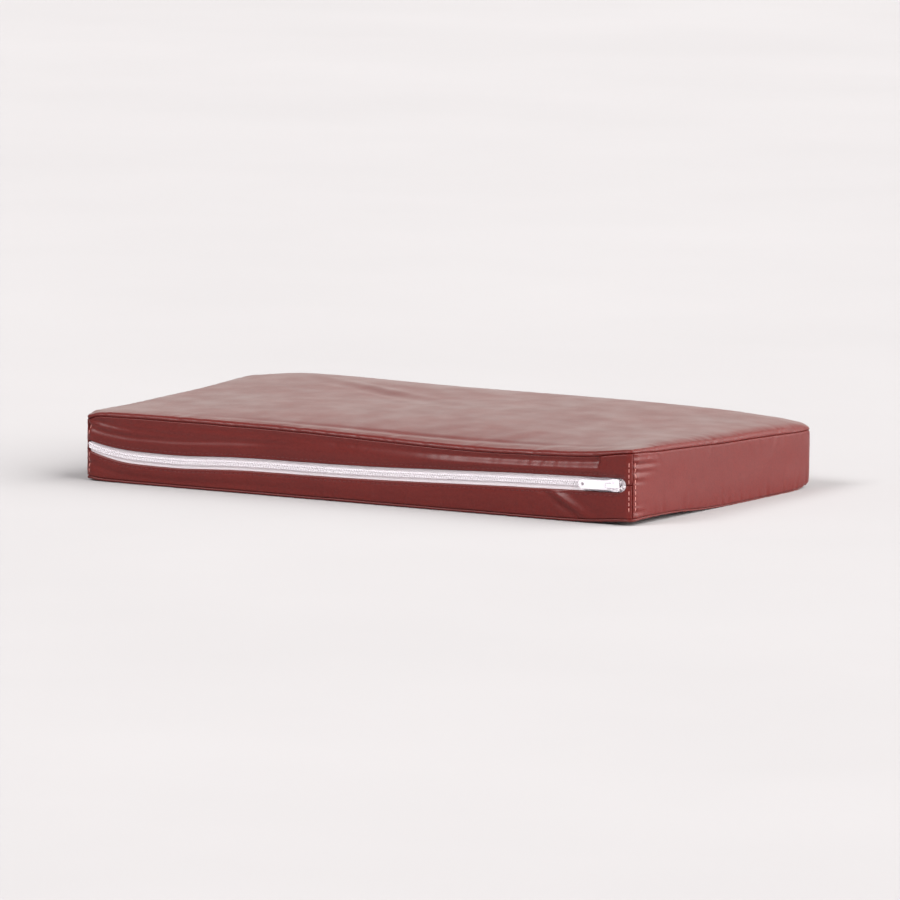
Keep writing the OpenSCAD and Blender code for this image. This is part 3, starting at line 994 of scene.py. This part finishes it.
class Shader:
    """A material and short ways to add nodes to it. Textures follow the part's own metres."""

    def __init__(self, name):
        self.material = bpy.data.materials.new(name)
        self.material.use_nodes = True
        self.tree = self.material.node_tree
        self.surface = self.tree.nodes["Principled BSDF"]
        self.where = self.tree.nodes.new("ShaderNodeTexCoord").outputs["Object"]

    def put(self, socket, value):
        """Links a socket, or sets its value."""
        if isinstance(value, bpy.types.NodeSocket):
            self.tree.links.new(value, socket)
        else:
            socket.default_value = value

    def node(self, kind, *first_inputs, settings=(), **inputs):
        """Adds a node. Inputs are given in order, or by name with underscores for spaces."""
        node = self.tree.nodes.new("ShaderNode" + kind)
        for key, value in settings:
            setattr(node, key, value)
        for n, value in enumerate(first_inputs):
            self.put(node.inputs[n], value)
        for key, value in inputs.items():
            self.put(node.inputs[key.replace("_", " ")], value)
        return node

    def noise(self, size, detail=3.0, vector=None):
        """Noise with features of about a size in mm."""
        node = self.node("TexNoise", Vector=vector or self.where, Scale=1 / (size * MM), Detail=detail)
        return node.outputs["Fac"]

    def ramp(self, value, low, high, out_low=0.0, out_high=1.0):
        """Maps a value from one range to another."""
        node = self.node(
            "MapRange", Value=value, From_Min=low, From_Max=high, To_Min=out_low, To_Max=out_high)
        return node.outputs["Result"]

    def mix(self, factor, a, b):
        """Mixes two colours."""
        node = self.node("Mix", factor, settings=[("data_type", "RGBA")])
        self.put(node.inputs[6], a)
        self.put(node.inputs[7], b)
        return node.outputs[2]

    def cells(self, scale, vector, settings=(), **inputs):
        """Distance to the middle of the nearest cell."""
        node = self.node("TexVoronoi", settings=settings, Vector=vector, Scale=scale, **inputs)
        return node.outputs["Distance"]

    def product(self, a, b):
        """Two values multiplied."""
        return self.node("Math", a, b, settings=[("operation", "MULTIPLY")]).outputs[0]

    def wave(self, direction, scale, distortion):
        """Fine stripes square to an axis."""
        node = self.node("TexWave", self.where, scale, distortion, settings=[("bands_direction", direction)])
        return node.outputs["Fac"]

    def bump(self, height, depth, strength=1.0, normal=None):
        """A bump of a depth in mm, on top of another one."""
        node = self.node("Bump", Height=height, Distance=depth * MM, Strength=strength)
        if normal is not None:
            self.put(node.inputs["Normal"], normal)
        return node.outputs["Normal"]

    def finish(self, **inputs):
        """Sets the surface's inputs and gives the material."""
        for key, value in inputs.items():
            self.put(self.surface.inputs[key.replace("_", " ")], value)
        return self.material


def srgb(r, g, b):
    """A linear colour from sRGB numbers out of 255."""
    def linear(c):
        c /= 255
        return c / 12.92 if c < 0.04045 else ((c + 0.055) / 1.055) ** 2.4
    return (linear(r), linear(g), linear(b), 1.0)


def coated_cloth():
    """Dark red coated cloth with a fine pebbled grain, a little uneven in colour and gloss."""
    s = Shader("coated_cloth")
    stray = s.node("TexNoise", Vector=s.where, Scale=900.0).outputs["Color"]
    warped = s.node("VectorMath", stray, [0.5 * MM] * 3, s.where, settings=[("operation", "MULTIPLY_ADD")])
    pebble = s.cells(1150.0, warped.outputs[0], [("feature", "SMOOTH_F1")], Smoothness=0.5)
    grain = s.ramp(pebble, 0.1, 0.75, 1.0, 0.0)
    patches = s.noise(38.0, 2.0)
    fine = s.noise(1.6, 4.0)
    between_pebbles, rubbed = srgb(66, 10, 9), srgb(118, 36, 29)
    base = s.mix(s.ramp(patches, 0.3, 0.7), srgb(91, 19, 15), srgb(97, 22, 17))
    base = s.mix(s.ramp(grain, 0.0, 0.5, 0.35, 0.0), base, between_pebbles)
    base = s.mix(s.ramp(fine, 0.35, 0.7, 0.0, 0.25), base, rubbed)
    rough = s.ramp(s.noise(22.0, 3.0), 0.3, 0.7, 0.35, 0.42)
    normal = s.bump(grain, 0.05, 0.55)
    normal = s.bump(s.noise(0.35, 2.0), 0.02, 0.5, normal)
    normal = s.bump(s.noise(26.0, 2.0), 0.2, 0.35, normal)
    return s.finish(Base_Color=base, Roughness=rough, Normal=normal, IOR=1.41)


def thread_material(name, dark, light, sheen):
    """Polyester thread, ribbed by its twist, between two colours."""
    s = Shader(name)
    base = s.mix(s.ramp(s.noise(3.0), 0.3, 0.7), dark, light)
    normal = s.bump(s.wave("DIAGONAL", 420.0, 1.0), 0.06, 0.7)
    return s.finish(Base_Color=base, Roughness=0.6, Normal=normal, Sheen_Weight=sheen)


def tape_material():
    """White woven tape: fine ribs along it, crossed by its weft."""
    s = Shader("zip_tape")
    weave = s.product(s.wave("Z", 520.0, 0.6), s.wave("X", 640.0, 0.6))
    base = s.mix(s.ramp(weave, 0.0, 0.5), srgb(244, 236, 242), srgb(254, 250, 253))
    base = s.mix(s.ramp(s.noise(20.0), 0.4, 0.8, 0.0, 0.3), base, srgb(246, 236, 241))
    return s.finish(Base_Color=base, Roughness=0.8, Normal=s.bump(weave, 0.08, 0.7), Sheen_Weight=0.4)


def coil_material():
    """White nylon filament, faintly milky."""
    s = Shader("nylon_coil")
    base = s.mix(s.ramp(s.noise(2.0), 0.3, 0.7), srgb(250, 244, 249), srgb(255, 251, 254))
    return s.finish(Base_Color=base, Roughness=0.32, Normal=s.bump(s.noise(0.4), 0.01, 0.4), IOR=1.53)


def cord_material():
    """White spun filler cord."""
    s = Shader("coil_cord")
    twist = s.wave("DIAGONAL", 500.0, 2.0)
    base = s.mix(s.ramp(twist, 0.2, 0.8), srgb(222, 214, 222), srgb(244, 238, 244))
    return s.finish(Base_Color=base, Roughness=0.85, Normal=s.bump(twist, 0.06, 0.8))


def lacquer():
    """White lacquer over die-cast metal, with a faint orange peel and small grey chips."""
    s = Shader("white_lacquer")
    chips = s.ramp(s.noise(0.7, 5.0), 0.71, 0.76)
    base = s.mix(s.ramp(s.noise(2.5), 0.3, 0.7), srgb(236, 230, 238), srgb(248, 243, 249))
    base = s.mix(chips, base, srgb(150, 148, 150))
    rough = s.ramp(chips, 0.0, 1.0, 0.26, 0.5)
    return s.finish(Base_Color=base, Roughness=rough, Normal=s.bump(s.noise(0.9, 2.0), 0.02, 0.35))


def steel():
    """Spring steel, brushed along the leaf."""
    s = Shader("spring_steel")
    stretch = s.node("Mapping", Vector=s.where, Scale=(0.08, 1.0, 1.0))
    lines = s.noise(0.08, 3.0, stretch.outputs[0])
    base = s.mix(lines, srgb(168, 166, 164), srgb(204, 202, 200))
    return s.finish(Base_Color=base, Metallic=1.0, Roughness=s.ramp(lines, 0.3, 0.7, 0.24, 0.4))


def foam_material():
    """Cream open-cell foam."""
    s = Shader("foam")
    cells = s.cells(900.0, s.where)
    base = s.mix(cells, srgb(196, 178, 126), srgb(238, 224, 176))
    base = s.mix(s.ramp(s.noise(30.0), 0.4, 0.7, 0.0, 0.4), base, srgb(228, 208, 150))
    return s.finish(Base_Color=base, Roughness=0.95, Normal=s.bump(cells, 0.4, 0.8))


def floor_material():
    """Plain pale floor."""
    s = Shader("floor")
    base = s.mix(s.ramp(s.noise(400.0), 0.3, 0.7), srgb(179, 177, 178), srgb(182, 180, 181))
    return s.finish(Base_Color=base, Roughness=1.0, Specular_IOR_Level=0.0)


# ---- assembly ----

CLOTH, TAPE, COIL, CORD = coated_cloth(), tape_material(), coil_material(), cord_material()
# One thread in two tones. The pale pink is the thread with a painted highlight, where its corner rows catch
# the light; the hidden seam threads use it too. The dark red is the same thread in painted shade, where its
# zip rows lie in the front's shade.
PAINTED_HIGHLIGHT_THREAD = thread_material("thread", srgb(186, 112, 104), srgb(206, 138, 128), 0.3)
PAINTED_SHADE_THREAD = thread_material("thread_in_painted_shade", srgb(84, 22, 22), srgb(104, 32, 30), 0.0)
HALVES = (("upper", 1), ("lower", -1))

foam = finish_piece(foam_core("foam_block"), foam_material(), "foam", "foam_core")

WALL = Strip(RIGHT_SEAM, ROUND, lambda a: 0.0 * a, lambda a: 0.0 * a + ROWS, plain_gaps, end_relief)
UPPER, LOWER = facing_strip(1), facing_strip(-1)

PANELS = (
    ("top_panel", panel("top_panel_cloth", ROWS, LID_DARTS, lid_relief)),
    ("bottom_panel", panel("bottom_panel_cloth", 0, FOOT_DARTS)),
)
for node, cloth in PANELS:
    finish_piece(cloth, CLOTH, "cover", node)
STRIPS = (
    ("boxing_strip", boxing("boxing_strip_cloth", WALL), WALL, 2 * ALLOWANCE),
    ("upper_facing", facing("upper_facing_cloth", UPPER, 1), UPPER, FACING_TURNS),
    ("lower_facing", facing("lower_facing_cloth", LOWER, -1), LOWER, FACING_TURNS),
)
for node, cloth, strip, turned in STRIPS:
    finish_piece(cloth, CLOTH, "cover", node)
    size, area = strip_cut(strip, turned)

finish_piece(seam_thread("top_seam_line", ROWS), PAINTED_HIGHLIGHT_THREAD, "thread", "top_seam_thread")
finish_piece(seam_thread("bottom_seam_line", 0), PAINTED_HIGHLIGHT_THREAD, "thread", "bottom_seam_thread")
for (half, sign), strip in zip(HALVES, (UPPER, LOWER)):
    rows = zip_stitches(f"{half}_zip_stitching", strip, sign)
    finish_piece(rows, PAINTED_SHADE_THREAD, "thread", f"{half}_zip_stitches")
for end, seam, direction in (("right", RIGHT_SEAM, -1), ("left", ROUND, 1)):
    sides = [((UPPER, LOWER), direction), ((WALL,), -direction)]
    rows = corner_stitches(f"{end}_corner_stitching", seam, sides)
    finish_piece(rows, PAINTED_HIGHLIGHT_THREAD, "thread", f"{end}_corner_stitches")

ZIP_PARTS = (
    (tape, "tape_weave", TAPE, "zip_tape"),
    (coil, "coil_loops", COIL, "zip_coil"),
    (coil_cord, "filler_cord", CORD, "coil_cord"),
)
for build, word, material, slot in ZIP_PARTS:
    for half, sign in HALVES:
        finish_piece(build(f"{half}_{word}", sign), material, slot, f"{half}_{slot}")


def finish_metal(node, edge_width, material):
    """Softens the edges of one of the slider's CAD pieces and gives it its material."""
    piece = bpy.data.objects[node]
    edge = piece.modifiers.new("soft_edges", "BEVEL")
    edge.width = edge_width * MM
    edge.segments = 3
    edge.limit_method = "ANGLE"
    edge.harden_normals = True
    piece.data.materials.clear()
    piece.data.materials.append(material)


LACQUER = lacquer()
finish_metal("slider_body", 0.18, LACQUER)
finish_metal("slider_cap", 0.1, LACQUER)
finish_metal("pull_tab", 0.22, LACQUER)
finish_metal("lock_spring", 0.04, steel())


# ---- stage, camera and light ----

FLOOR_HALF = 9000
FLOOR_CORNERS = FLOOR_HALF * np.array([[-1, -1, 0], [1, -1, 0], [1, 1, 0], [-1, 1, 0]])
floor = make_mesh("floor", FLOOR_CORNERS, [[0, 1, 2, 3]])
floor.data.materials.append(floor_material())

CAMERA_AZIMUTH, CAMERA_ELEVATION, CAMERA_ROLL = 30.9, 7.2, 0.38     # degrees
CAMERA_DISTANCE = 6.48                                              # metres
CAMERA_LENS = 396
AIM = Vector((0.0, 0.0, 0.022))


def toward(azimuth, elevation):
    """A unit direction from the pillow, in degrees: azimuth 0 is in front, and 90 is off its right end."""
    azimuth, elevation = math.radians(azimuth), math.radians(elevation)
    level = math.cos(elevation)
    return Vector((math.sin(azimuth) * level, -math.cos(azimuth) * level, math.sin(elevation)))


def placed(thing, place, target, roll=0.0):
    """Links a camera or light, puts it at a place and turns it to a target."""
    bpy.context.scene.collection.objects.link(thing)
    thing.location = place
    turn = (target - place).to_track_quat("-Z", "Y").to_matrix()
    thing.rotation_euler = (turn @ Matrix.Rotation(roll, 3, "Z")).to_euler()
    return thing


camera = bpy.data.objects.new("camera", bpy.data.cameras.new("camera"))
CAMERA_PLACE = AIM + CAMERA_DISTANCE * toward(CAMERA_AZIMUTH, CAMERA_ELEVATION)
placed(camera, CAMERA_PLACE, AIM, math.radians(CAMERA_ROLL))
camera.data.lens = CAMERA_LENS
camera.data.clip_end = 60
bpy.context.scene.camera = camera


def add_light(kind, name, direction, distance, strength, colour):
    """A light that shines on the pillow from a direction, given as its azimuth and elevation."""
    light = bpy.data.lights.new(name, kind)
    light.energy = strength
    light.color = colour
    return placed(bpy.data.objects.new(name, light), AIM + distance * toward(*direction), AIM)


def distant_light(name, direction, spread, strength, colour):
    """Soft light from far away; spread is how wide it looks, in degrees."""
    add_light("SUN", name, direction, 5, strength, colour).data.angle = math.radians(spread)


def sheen_light(name, direction, distance, size, power, colour):
    """A pale wall behind the pillow that only shows as a sheen; size is its width and height in metres."""
    lamp = add_light("AREA", name, direction, distance, power, colour)
    lamp.data.shape = "RECTANGLE"
    lamp.data.size, lamp.data.size_y = size
    lamp.visible_camera = False
    lamp.visible_diffuse = False


def room_light(colour, strength):
    """Even light from all round."""
    world = bpy.data.worlds.new("room")
    bpy.context.scene.world = world
    world.use_nodes = True
    background = world.node_tree.nodes["Background"]
    background.inputs["Color"].default_value = colour
    background.inputs["Strength"].default_value = strength


distant_light("window", (104, 20), spread=90, strength=8.2, colour=(1.0, 0.98, 0.96))
distant_light("lamp", (-25, 44), spread=28, strength=2.35, colour=(1.0, 1.0, 1.0))
sheen_light("back_wall", (205, 14), distance=3.0, size=(4.5, 1.4), power=22.5, colour=(0.88, 1.0, 0.93))
room_light(srgb(242, 238, 238), 0.45)
bpy.context.scene.view_settings.view_transform = "Standard"
